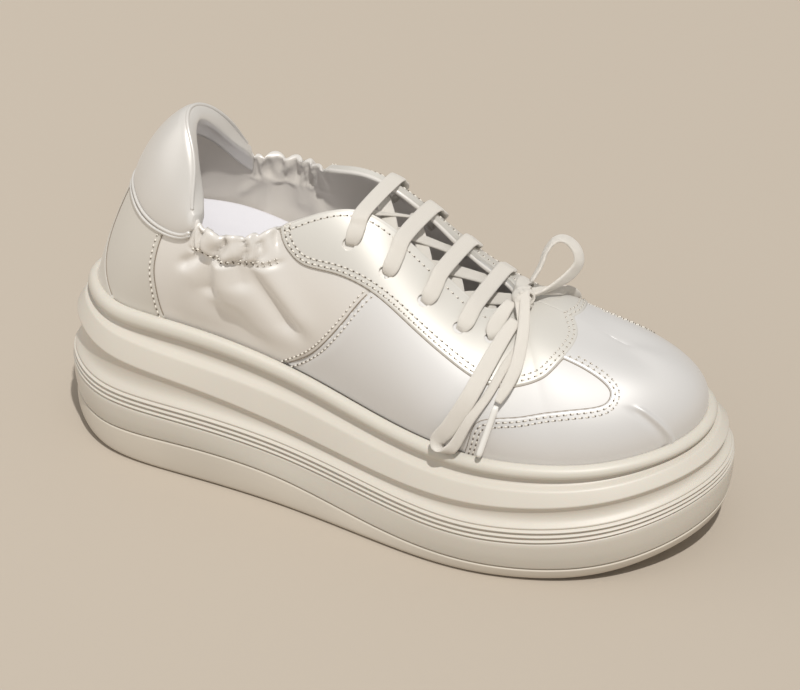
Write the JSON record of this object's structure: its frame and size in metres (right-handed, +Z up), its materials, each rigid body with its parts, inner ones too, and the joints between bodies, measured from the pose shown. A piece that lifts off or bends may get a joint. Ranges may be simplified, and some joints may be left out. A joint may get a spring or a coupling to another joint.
{
  "type": "platform sneaker",
  "caption": "Right platform sneaker: hollow leather upper with padded heel tab and gathered collar, flat laces in a bow, and a thick sculpted sole with ribbed sides.",
  "frame": {"origin": "middle of the underside: the centre of the length and width of the shoe without its free bow, on the ground", "axes": "+X from heel to toe, +Y to the inner (medial) side of the right foot, +Z up"},
  "size_m": [0.265, 0.1012, 0.1439],
  "materials": {
    "outsole": "matte, warm cream",
    "midsole": "satin foam, cream",
    "insole": "woven, cool white",
    "upper": "pearly satin, off-white",
    "lace": "flat woven, ivory",
    "aglet": "smooth, white"
  },
  "bodies": {
    "root": {"outsole": "outsole", "midsole": "midsole", "insole": "insole", "upper": "upper", "heel_collar": "upper", "lace": "lace", "lace_knot": "lace", "lace_loop_up": "lace", "lace_loop_side": "lace", "lace_end_long": "lace", "lace_end_short": "lace", "aglet_long": "aglet", "aglet_short": "aglet"}
  },
  "joints": []
}
